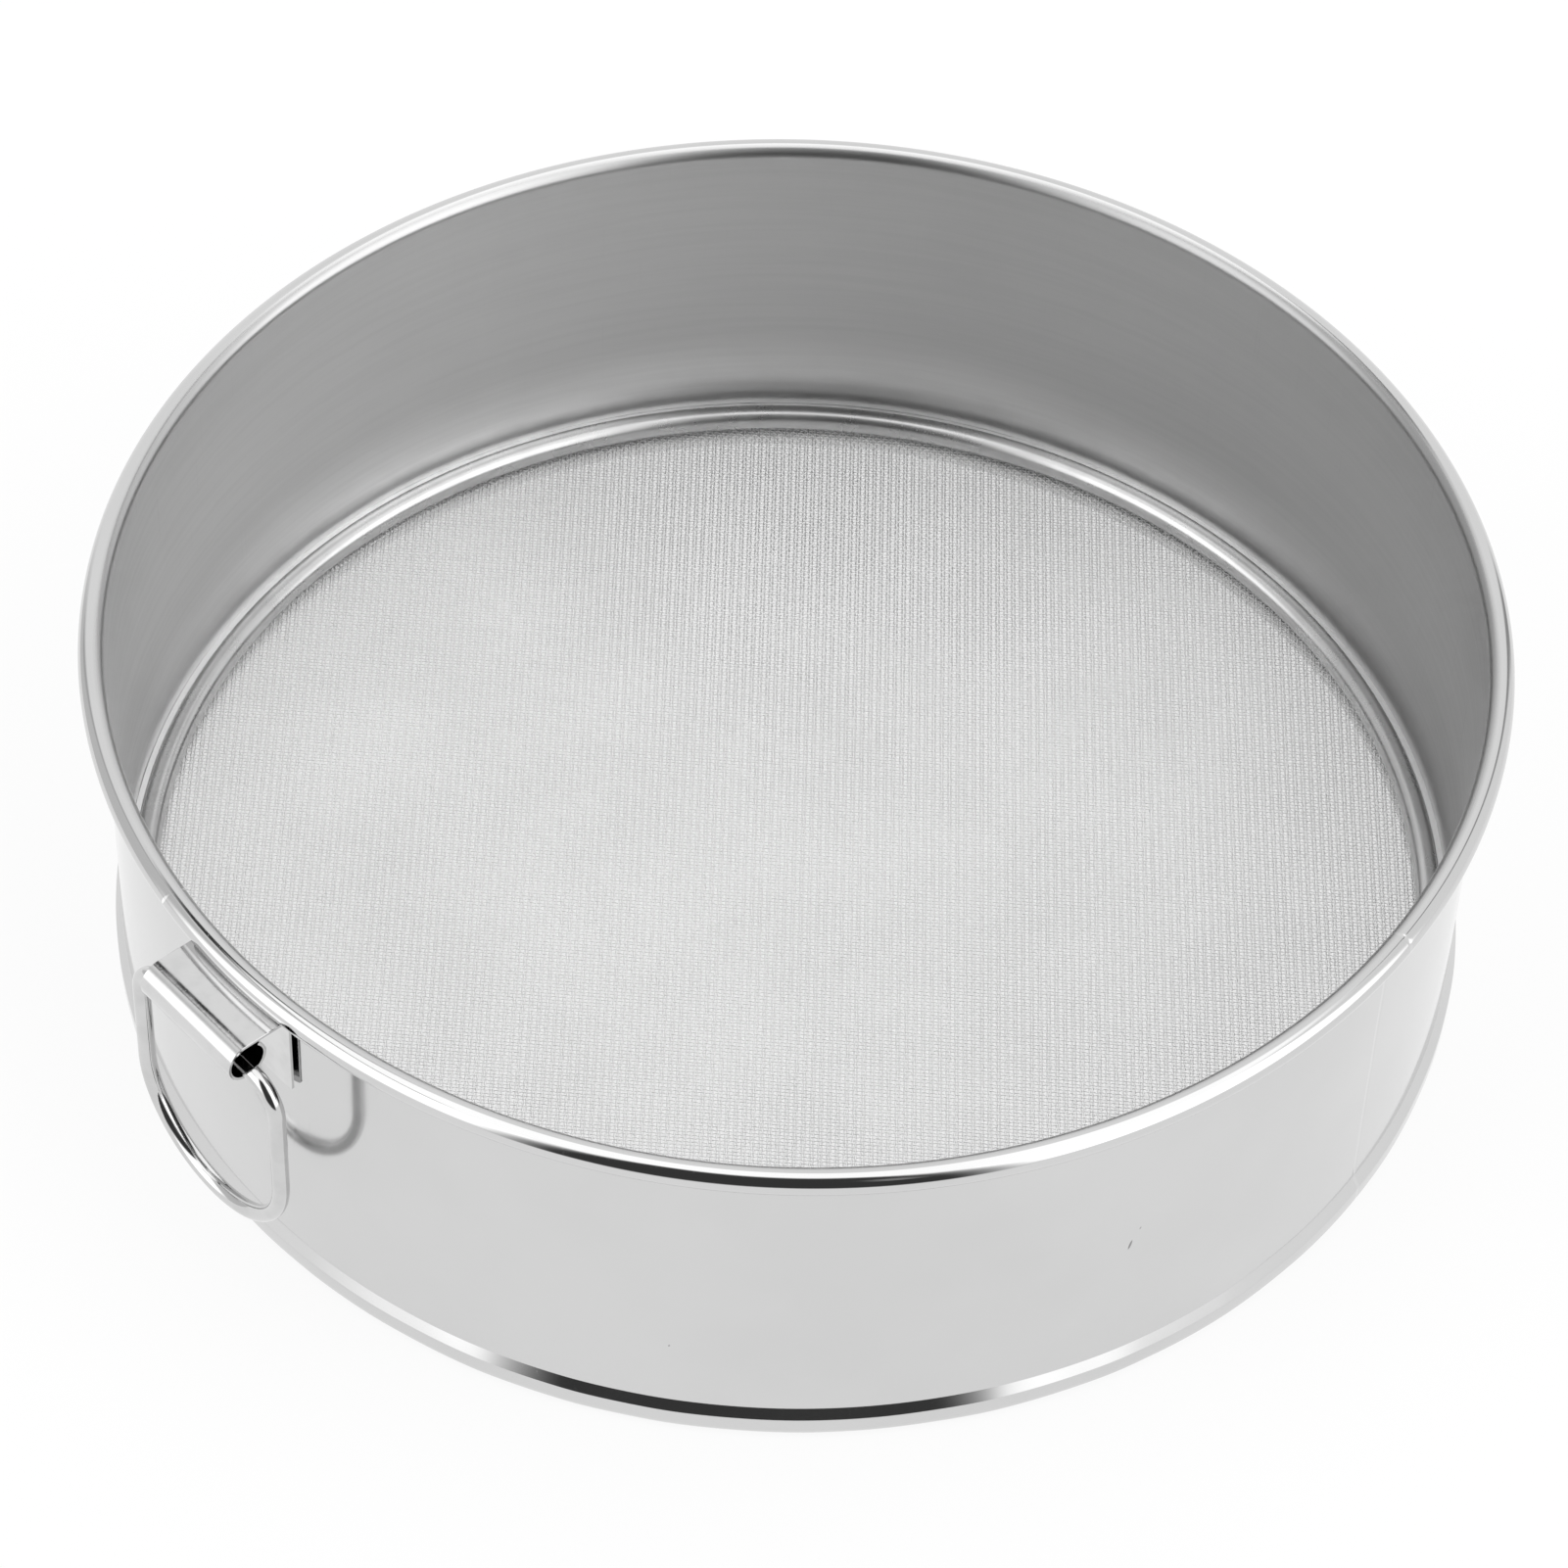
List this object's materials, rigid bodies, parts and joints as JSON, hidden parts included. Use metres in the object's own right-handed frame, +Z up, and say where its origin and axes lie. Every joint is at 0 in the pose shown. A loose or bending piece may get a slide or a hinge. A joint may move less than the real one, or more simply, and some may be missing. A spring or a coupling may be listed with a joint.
{
  "type": "tamis drum sieve",
  "caption": "Round steel drum sieve: a hoop with a rolled rim bead, woven wire mesh held near the foot by a wire ring, and a hanging D ring in a curled clip.",
  "frame": {"origin": "centre of the drum on the surface that its foot stands on", "axes": "+Z up along the drum's axis; the picture is taken from the -Y side, and the hanging ring is at 222.7 degrees from +X"},
  "size_m": [0.25, 0.25, 0.0736],
  "materials": {
    "wall_steel": "polished stainless sheet outside, satin inside",
    "core_wire": "drawn steel wire",
    "mesh_wire": "bright woven stainless wire",
    "ring_wire": "polished stainless wire",
    "clip_steel": "bright stainless sheet"
  },
  "bodies": {
    "drum": {"drum_wall": "wall_steel", "top_rim_wire": "core_wire", "mesh_screen": "mesh_wire", "retaining_ring": "ring_wire", "hanger_bracket": "clip_steel"},
    "ring": {"hanging_ring": "ring_wire"}
  },
  "joints": [
    {"name": "ring_swing", "type": "hinge", "parent": "drum", "child": "ring", "pos_m": [-0.09561, -0.08823, 0.0629], "axis": [-0.6782, 0.7349, 0], "range_deg": [-9, 206]}
  ]
}
